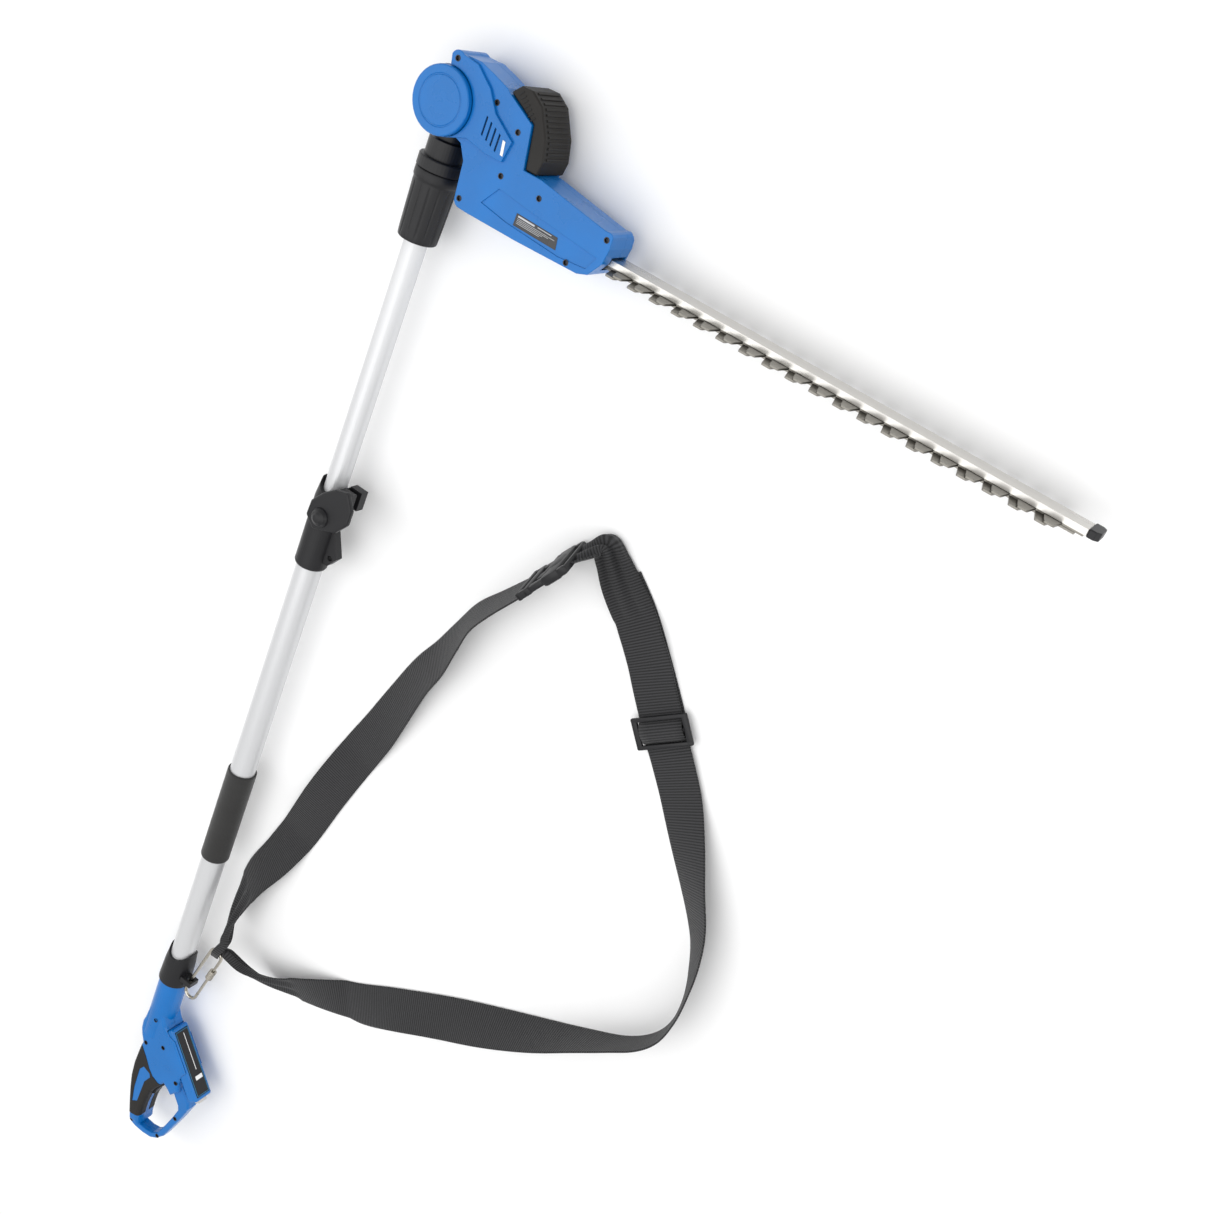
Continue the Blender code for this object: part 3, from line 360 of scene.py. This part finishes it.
def screws(name, places, body, node, radius=2.0):
    bm = bmesh.new()
    for x, y, depth in places:
        seat = rim_height(node, x, y, 3.6) - depth
        head = [(0.0, 0.35), (0.8, 0.35), (0.95, 0.9), (radius - 0.45, 0.9), (radius, 0.55), (radius, 0.0),
                (0.0, 0.0)]
        lathe_into(bm, head, at(x, y, seat + 0.02), (0, 0, 1), 12)
        # the dark cup lining the screw's recess, with its lip round the hole, is painted shade of the recess
        recess_shade_cup = [(radius + 0.05, 0.1), (radius + 0.05, 2.40), (radius + 0.25, 2.62), (radius + 0.95, 2.62),
               (radius + 1.05, 2.42), (radius + 0.15, 2.38), (radius + 0.15, 0.1), (radius + 0.05, 0.1)]
        lathe_into(bm, recess_shade_cup, at(x, y, seat), (0, 0, 1), 20)
    bmesh.ops.remove_doubles(bm, verts=bm.verts, dist=1e-7)
    return smooth_by_angle(finish_piece(name, bm, "screw_dark", body))


screws("head_screws", [(1, 40.5, 2.4), (54, 21, 2.4), (85, 6, 2.4), (83, -37, 2.4), (129, -38, 2.4),
                       (48, -75, 2.4), (178, -78, 2.4), (209, -41, 2.4)], "head", "head_shell_upper")
screws("handle_screws", [(4, -1230, 2.4), (27, -1263, 2.4), (62, -1299, 2.4), (74.5, -1361.5, 2.4),
                         (57, -1412, 2.4), (10.5, -1421, 2.4), (-0.5, -1277, 2.4)], "pole", "handle_shell_upper", 2.15)

bm = bmesh.new()
for index in range(4):
    x = 50.0 + 6.2 * index
    prism_into(bm, [(x + 0.1, 6.8 - 3 * index), (x + 1.9, 5.8 - 3 * index),
                    (x + 1.9, -11.8 - 2.5 * index), (x + 0.1, -10.9 - 2.5 * index)], 27.55, 28.3)
finish_piece("vent_shadows", bm, "black_plastic", "head", smooth=False)

# white strip at the cover's end: a painted highlight where the glossy cover catches the light
bm = bmesh.new()
prism_into(bm, [(74.6, -5.6), (77.9, -6.4), (79.9, -19.6), (76.8, -19.4)], 30.02, 30.5, 0.3)
finish_piece("painted_highlight_strip", bm, "white_gloss", "head", smooth=False)


def on_surface(bm, node, outline, lift, thick):
    """Thin plate that follows the surface below its corners."""
    low, high = [], []
    for x, y in outline:
        z, _ = surface_under(node, x, y)
        low.append(bm.verts.new(at(x, y, z + lift)))
        high.append(bm.verts.new(at(x, y, z + lift + thick)))
    count = len(outline)
    bm.faces.new(low[::-1])
    bm.faces.new(high)
    for k in range(count):
        n = (k + 1) % count
        bm.faces.new((low[k], low[n], high[n], high[k]))


LABEL = ((112.0, -60.0), (161.0, -61.5), (163.0, -73.0), (112.0, -72.0))


def label_point(u, v):
    """Place on the label: u along it and v down it, both from 0 to 1."""
    top = Vector(LABEL[0]).lerp(Vector(LABEL[1]), u)
    bottom = Vector(LABEL[3]).lerp(Vector(LABEL[2]), u)
    return tuple(top.lerp(bottom, v))


bm = bmesh.new()
on_surface(bm, "head_shell_upper", LABEL, 0.02, 0.25)
finish_piece("blank_label", bm, "label_dark", "head", smooth=False)
bm = bmesh.new()
for u0, u1, v0, v1 in ((0.05, 0.45, 0.10, 0.24), (0.52, 0.86, 0.10, 0.17), (0.05, 0.94, 0.34, 0.38),
                       (0.05, 0.80, 0.46, 0.50), (0.05, 0.66, 0.58, 0.62), (0.05, 0.60, 0.70, 0.74)):
    on_surface(bm, "head_shell_upper", [label_point(u0, v0), label_point(u1, v0), label_point(u1, v1),
                                        label_point(u0, v1)], 0.24, 0.12)
finish_piece("label_lines", bm, "label_print", "head", smooth=False)


# ---- motor cover: ribs on its outer wall, slots painted as shade along its inner edge ---------

def wall_bar(bm, start, end, share, low, high, width, depth, sink=0.3):
    """Upright bar on a wall from start to end, proud of it by depth."""
    one, two = Vector(start), Vector(end)
    along = (two - one).normalized()
    outward = Vector((along.y, -along.x))
    if outward.dot((one + two) / 2 - Vector(COVER_MIDDLE)) < 0:
        outward = -outward
    centre = one.lerp(two, share) + outward * (depth - sink) / 2
    matrix = (Matrix.Translation(at(centre.x, centre.y, (low + high) / 2))
              @ Matrix.Rotation(math.atan2(along.y, along.x), 4, "Z"))
    box_into(bm, matrix, (width, depth + sink, high - low), 0.35)


COVER_MIDDLE = (98.0, 10.0)
bm = bmesh.new()
for start, end, count in (((99, 36.5), (114, 11), 6), ((114, 11), (119, -8), 4), ((85, 45), (99, 36.5), 3)):
    for k in range(count):
        wall_bar(bm, start, end, (k + 0.5) / count, -17.0, 19.5, 2.2, 1.1)
finish_piece("cover_ribs", bm, "soft_black", "head", smooth=False)

# near-black boxes along the inner edge stand for the slots: painted shade, not openings
bm = bmesh.new()
edge_one, edge_two = Vector((70.8, 36.5)), Vector((93.6, 17.0))
down = (edge_two - edge_one).normalized()
inward = Vector((-down.y, down.x))
for k in range(7):
    centre = edge_one.lerp(edge_two, (k + 0.3) / 7) + inward * 4.0
    matrix = (Matrix.Translation(at(centre.x, centre.y, 25.15))
              @ Matrix.Rotation(math.atan2(inward.y, inward.x), 4, "Z"))
    box_into(bm, matrix, (6.5, 1.5, 0.7), 0.2)
finish_piece("cover_slot_painted_shade", bm, "black_gap", "head", smooth=False)


# ---- webbing ----------------------------------------------------------------------------------

def smooth_run(stations, steps):
    """Catmull-Rom curve through the stations, steps points to each span."""
    run = []
    last = len(stations) - 1
    for i in range(last):
        before = Vector(stations[max(i - 1, 0)])
        one = Vector(stations[i])
        two = Vector(stations[i + 1])
        after = Vector(stations[min(i + 2, last)])
        for k in range(steps):
            t = k / steps
            bend = 2 * before - 5 * one + 4 * two - after
            twist = 3 * one - before - 3 * two + after
            run.append(0.5 * ((2 * one) + (two - before) * t + bend * t * t + twist * t ** 3))
    run.append(Vector(stations[-1]))
    return run


WEB_WIDTH = 50.0
WEB_THICK = 1.5
WEB_SOLID = 1.8                    # the thickness of the CAD's band
ACROSS = 20
PLEATS = 5                         # half waves across a gathered band


def gathered_section(width):
    """Points across the webbing, as (across, out): pleats that hold its full width in a narrower one."""
    if width > 48.0:
        return [(width * (k / ACROSS - 0.5), 0.0) for k in range(ACROSS + 1)]
    low, high = 0.0, 30.0
    for _ in range(30):
        deep = (low + high) / 2
        points = [(width * (k / ACROSS - 0.5), deep / 2 * math.cos(PLEATS * math.pi * k / ACROSS))
                  for k in range(ACROSS + 1)]
        arc = sum(math.dist(one, two) for one, two in zip(points, points[1:]))
        if arc > WEB_WIDTH:
            high = deep
        else:
            low = deep
    return points


def webbing(name, stations, node, body, bulge=1.0, steps=8):
    """Band along stations of (x, y, lift, roll, width), the same run as its CAD solid."""
    run = smooth_run(stations, steps)
    bm = bmesh.new()
    uv_layer = bm.loops.layers.uv.new("UVMap")
    rows = []
    along = 0.0
    lengths = []
    middle_before = None
    for i, (x, y, lift, roll, width) in enumerate(run):
        lift = max(lift, 0.0)
        ahead = run[min(i + 1, len(run) - 1)] - run[max(i - 1, 0)]
        forward = Vector((ahead[0], ahead[1], 0.0)).normalized()
        side = Vector((0, 0, 1)).cross(forward)
        angle = math.radians(roll)
        across = side * math.cos(angle) + Vector((0, 0, 1)) * math.sin(angle)
        normal = Vector((0, 0, 1)) * math.cos(angle) - side * math.sin(angle)
        height = FLOOR + lift + abs(math.sin(angle)) * width / 2 + WEB_SOLID / 2 + 0.3
        middle = Vector((x, y, height + AXIS_Z))
        if middle_before is not None:
            along += (middle - middle_before).length
        middle_before = middle
        lengths.append(along)
        section = gathered_section(min(width, 49.9))
        rows.append([bm.verts.new((middle + across * a + normal * b * bulge) * MM) for a, b in section])
    for r, (one, two) in enumerate(zip(rows, rows[1:])):
        for k in range(ACROSS):
            face = bm.faces.new((one[k], one[k + 1], two[k + 1], two[k]))
            us = (k, k + 1, k + 1, k)
            vs = (lengths[r], lengths[r], lengths[r + 1], lengths[r + 1])
            for loop, u, v in zip(face.loops, us, vs):
                loop[uv_layer].uv = (u / ACROSS * WEB_WIDTH * MM, v * MM)
    mesh = bpy.data.meshes.new(name)
    bm.to_mesh(mesh)
    bm.free()
    for face in mesh.polygons:
        face.use_smooth = True
    mesh.materials.append(LOOK["webbing"])
    piece = bpy.data.objects.new(name, mesh)
    bpy.context.scene.collection.objects.link(piece)
    thick = piece.modifiers.new("thickness", "SOLIDIFY")
    thick.thickness = WEB_THICK * MM
    thick.offset = 0.0
    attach(piece, body)
    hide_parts(node)
    return piece


STRAP_LEFT = [(58, -1054, 34, -75, 14), (53, -1040, 24, -62, 26), (46, -1014, 8, -40, 42),
              (49, -969, 0, -28, 50), (67, -919, 0, -12, 50), (85, -859, 0, 4, 50),
              (100, -799, 0, 10, 50), (118, -733, 0, 1, 50), (136, -679, 0, -9, 50),
              (150, -631, 0, -20, 50), (165, -580, 0, -31, 50), (180, -544, 0, -40, 50),
              (192, -506, 0, -51, 50), (203, -473, 0, -60, 50), (222, -443, 0, -68, 50),
              (247, -407, 0, -72, 50)]
STRAP_RIGHT = [(305, -319, 4, -36, 28), (319, -334, 4, -26, 34), (338, -354, 4, -13, 42),
               (370, -385, 3.4, 2, 50), (395, -412, 3.4, 0, 50), (414, -436, 3.4, 0, 50),
               (442, -470, 3, 0, 50), (464, -495, 2, 2, 50), (488, -525, 0, 5, 50),
               (514, -559, 0, 17, 50), (540, -594, 0, 32, 50), (563, -627, 0, 42, 50),
               (577, -656, 0, 54, 50), (586, -690, 0, 65, 50), (591, -722, 0, 75, 50),
               (589, -755, 0, 84, 50), (576, -784, 0, 94, 50), (550, -811, 0, 98, 50),
               (511, -840, 0, 88, 50), (468, -871, 0, 72, 50), (411, -910, 0, 52, 50),
               (352, -950, 0, 32, 50), (290, -991, 0, 26, 50), (241, -1027, 0, 8, 50),
               (198, -1050, 0, -12, 50), (154, -1069, 2, -30, 48), (120, -1078, 10, -42, 40),
               (92, -1077, 22, -52, 26), (68, -1068, 32, -62, 16)]
STRAP_TAIL = [(330, -352, 0, 0, 50), (360, -376, 0, 0, 50), (395, -413, 0, 0, 50), (424, -446, 0, 0, 50)]

FLOOR_HALF = 30.0                  # metres
bm = bmesh.new()
corners = [bm.verts.new((0.3 + sx * FLOOR_HALF, -0.6 + sy * FLOOR_HALF, -0.0003))
           for sx, sy in ((-1, -1), (1, -1), (1, 1), (-1, 1))]
bm.faces.new(corners)
floor_mesh = bpy.data.meshes.new("floor")
bm.to_mesh(floor_mesh)
bm.free()
floor_mesh.materials.append(finish("floor_pale", (0.93, 0.93, 0.93), 0.75, bump=0.0, vary=0.005, edge=0.0))
floor = bpy.data.objects.new("floor", floor_mesh)
bpy.context.scene.collection.objects.link(floor)

HOOK_LEFT = [(51, -1081, 34, -80, 11), (54, -1069, 40, -80, 11)]
HOOK_RIGHT = [(58, -1075, 28, -70, 12), (51, -1080, 30, -75, 11)]
INTO_SOCKET = [(281, -349, 3, -74, 49), (294, -333, 3, -68, 42), (306, -322, 4, -46, 33)]
ONTO_PLUG = [(254, -396, 4, -73, 50)]
webbing("webbing_left", HOOK_LEFT + STRAP_LEFT + ONTO_PLUG, "strap_left", "strap_end")
webbing("webbing_right", INTO_SOCKET + STRAP_RIGHT[1:] + HOOK_RIGHT, "strap_right", "pole")
webbing("webbing_tail", STRAP_TAIL + [(432, -456, 0, 0, 50)], "strap_tail", "pole")


# ---- side-release buckle and slider -----------------------------------------------------------

BUCKLE = (Matrix.Translation(at(250.0, -402.0, FLOOR + 31.5)) @ Matrix.Rotation(math.radians(58.0), 4, "Z")
          @ Matrix.Rotation(math.radians(-74.0), 4, "X"))


def boxes(name, place, look, body, parts, node=None):
    """One piece of bevelled blocks, each (centre, size, bevel) in millimetres in the axes of place."""
    bm = bmesh.new()
    for centre, size, rounding in parts:
        box_into(bm, place @ Matrix.Translation(Vector(centre) * MM), size, rounding)
    piece = smooth_by_angle(finish_piece(name, bm, look, body), 35)
    if node:
        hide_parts(node)
    return piece


boxes("plug", BUCKLE, "black_plastic", "strap_end",
      [((4.0, 0, 0), (6.0, 54, 9), 2.0), ((15.5, 0, 0), (9.0, 54, 8.4), 2.0),
       ((9.0, 23.5, 0), (14, 7, 8), 1.6),
       ((9.0, -23.5, 0), (14, 7, 8), 1.6), ((28.0, 21.5, 0), (19.5, 9.5, 7), 2.2),
       ((28.0, -21.5, 0), (19.5, 9.5, 7), 2.2), ((28.5, 0, 0), (19, 15, 5), 1.5)], "buckle_plug")
boxes("socket", BUCKLE, "black_plastic", "pole",
      [((50.5, 0, 0), (23.8, 60, 11.4), 3.4), ((50.5, 0, 0), (17, 24, 13.6), 3.2),
       ((42.0, 0, 0), (6.4, 44, 12.6), 1.6),
       ((70.0, 0, 0), (4.4, 58, 8), 1.8), ((65.5, 26.5, 0), (10, 6.5, 9), 1.8),
       ((65.5, -26.5, 0), (10, 6.5, 9), 1.8)],
      "buckle_socket")

SLIDER = Matrix.Translation(at(439.0, -467.0, FLOOR + 8.2)) @ Matrix.Rotation(math.radians(40.0), 4, "Z")
boxes("slider_frame", SLIDER, "black_plastic", "slider",
      [((0, 14.7, 0), (66, 5.0, 4.6), 1.8), ((0, -14.7, 0), (66, 5.0, 4.6), 1.8),
       ((29.5, 0, 0), (7.0, 34, 4.4), 1.8),
       ((-29.5, 0, 0), (7.0, 34, 4.4), 1.8), ((0, 0, -0.4), (58, 5.0, 2.8), 1.0)], "strap_slider")

bm = bmesh.new()
uv_layer = bm.loops.layers.uv.new("UVMap")
rows = []
lengths = [0.0]
for k in range(13):
    y = -12.0 + 2.0 * k
    z = -2.9 + 6.0 * max(0.0, math.cos(math.pi * y / 24.0)) ** 0.7
    row = [SLIDER @ (Vector((x, y, z)) * MM) for x in (-25, -15, -5, 5, 15, 25)]
    if rows:
        lengths.append(lengths[-1] + (row[0] - rows[-1][0].co).length)
    rows.append([bm.verts.new(point) for point in row])
for r in range(12):
    for c in range(5):
        face = bm.faces.new((rows[r][c], rows[r][c + 1], rows[r + 1][c + 1], rows[r + 1][c]))
        for loop, (u, v) in zip(face.loops, ((c, r), (c + 1, r), (c + 1, r + 1), (c, r + 1))):
            loop[uv_layer].uv = (u * 0.01, lengths[v])
piece = finish_piece("webbing_over_bar", bm, "webbing", "slider")
thick = piece.modifiers.new("thickness", "SOLIDIFY")
thick.thickness = 0.0013
thick.offset = 0.0


# ---- battery print and the hook's threaded nut ------------------------------------------------

BATTERY = Matrix.Translation(at(59.6, -1271.7, 0)) @ Matrix.Rotation(math.radians(-46.0), 4, "Z")
boxes("battery_print", BATTERY, "white_gloss", "battery",
      [((-14.5, 9.0, -1.6), (52, 0.5, 0.9), 0.12), ((22.0, 9.0, -2.0), (5.5, 0.5, 11.5), 0.12)])
boxes("battery_trim", BATTERY, "battery_line", "battery",
      [((0, 8.95, 9.8), (88, 0.5, 0.8), 0.12), ((0, 8.95, -9.8), (88, 0.5, 0.8), 0.12),
       ((-44.4, 8.95, 0), (0.8, 0.5, 20), 0.12), ((44.4, 8.95, 0), (0.8, 0.5, 20), 0.12)])

HOOK = Matrix.Translation(at(27.5, -1146.0, 6.0)) @ Matrix.Rotation(math.radians(-12.8), 4, "Z")
thread = [(4.0, 30.0)]
for k in range(9):
    thread += [(4.15, 30.4 + 1.7 * k), (4.75, 30.9 + 1.7 * k), (4.75, 31.5 + 1.7 * k),
               (4.15, 31.9 + 1.7 * k)]
thread += [(4.0, 46.0), (2.2, 46.0), (2.2, 30.0), (4.0, 30.0)]
bm = bmesh.new()
lathe_into(bm, thread, HOOK @ (Vector((18, 0, 0)) * MM), HOOK.to_3x3() @ Vector((0, 1, 0)), 20)
bmesh.ops.remove_doubles(bm, verts=bm.verts, dist=1e-7)
piece = smooth_by_angle(finish_piece("threaded_nut", bm, "steel", "carabiner_nut"))
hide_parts("carabiner_nut")

# the spring under the tilt button, which is pressed flat with it
bm = bmesh.new()
turns, around, tube = 3, 16, 8
rings = []
for k in range(turns * around + 1):
    angle = 2 * math.pi * k / around
    centre = Vector((8.4 * math.cos(angle), 8.4 * math.sin(angle), 23.8 + 4.8 * k / (turns * around)))
    out = Vector((math.cos(angle), math.sin(angle), 0.0))
    rings.append([bm.verts.new(at(*(centre + out * 0.5 * math.cos(2 * math.pi * j / tube)
                                    + Vector((0, 0, 0.5 * math.sin(2 * math.pi * j / tube))))))
                  for j in range(tube)])
for one, two in zip(rings, rings[1:]):
    for j in range(tube):
        bm.faces.new((one[j], one[(j + 1) % tube], two[(j + 1) % tube], two[j]))
bm.faces.new(rings[0])
bm.faces.new(rings[-1])
piece = finish_piece("pressed_spring", bm, "steel", "head")
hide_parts("button_spring")
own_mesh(piece)


# ---- twist sleeve, foam grip ------------------------------------------------------------------

FLUTES = 14


def fluted(angle, radius, along):
    """Wide flutes with narrow grooves between them, which fade out near both ends."""
    share = (angle / (2 * math.pi) * FLUTES) % 1.0
    groove = max(0.0, 1.0 - abs(share - 0.5) / 0.16)
    fade = min(1.0, max(0.0, (along - 4.0) / 3.0)) * min(1.0, max(0.0, (58.0 - along) / 2.0))
    return radius - 0.9 * groove * fade if along > 1.0 and radius > 18.0 else radius


bm = bmesh.new()
sleeve = [(17.0, 0.0), (19.4, 0.0), (20.1, 0.7), (20.4, 2.0), (20.6, 6.0), (20.9, 12.0), (21.4, 28.0),
          (21.9, 44.0), (22.3, 56.0), (22.4, 58.5), (22.3, 60.0), (22.9, 61.2), (23.4, 62.4),
          (23.4, 70.2), (22.9, 71.2), (22.2, 71.6), (17.0, 71.6), (17.0, 0.0)]
lathe_into(bm, sleeve, at(0, -140.3, 0), (0, 1, 0), 168, fluted)
bmesh.ops.remove_doubles(bm, verts=bm.verts, dist=1e-7)
piece = smooth_by_angle(finish_piece("fluted_sleeve", bm, "black_plastic", "lock_sleeve"), 40)
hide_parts("lock_sleeve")

bm = bmesh.new()
grip = [(15.3, 0.3), (16.4, 0.0), (17.1, 0.6), (17.5, 1.8)]
grip += [(17.5 + 0.06 * math.sin(step * 2.1), 2.5 + step * 5.0) for step in range(27)]
grip += [(17.5, 133.4), (17.0, 134.5), (16.3, 135.0), (15.3, 134.7), (15.3, 0.3)]
lathe_into(bm, grip, at(0, -955, 0), (0, 1, 0), 72)
bmesh.ops.remove_doubles(bm, verts=bm.verts, dist=1e-7)
piece = finish_piece("foam_sleeve", bm, "foam", "pole")
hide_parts("foam_grip")
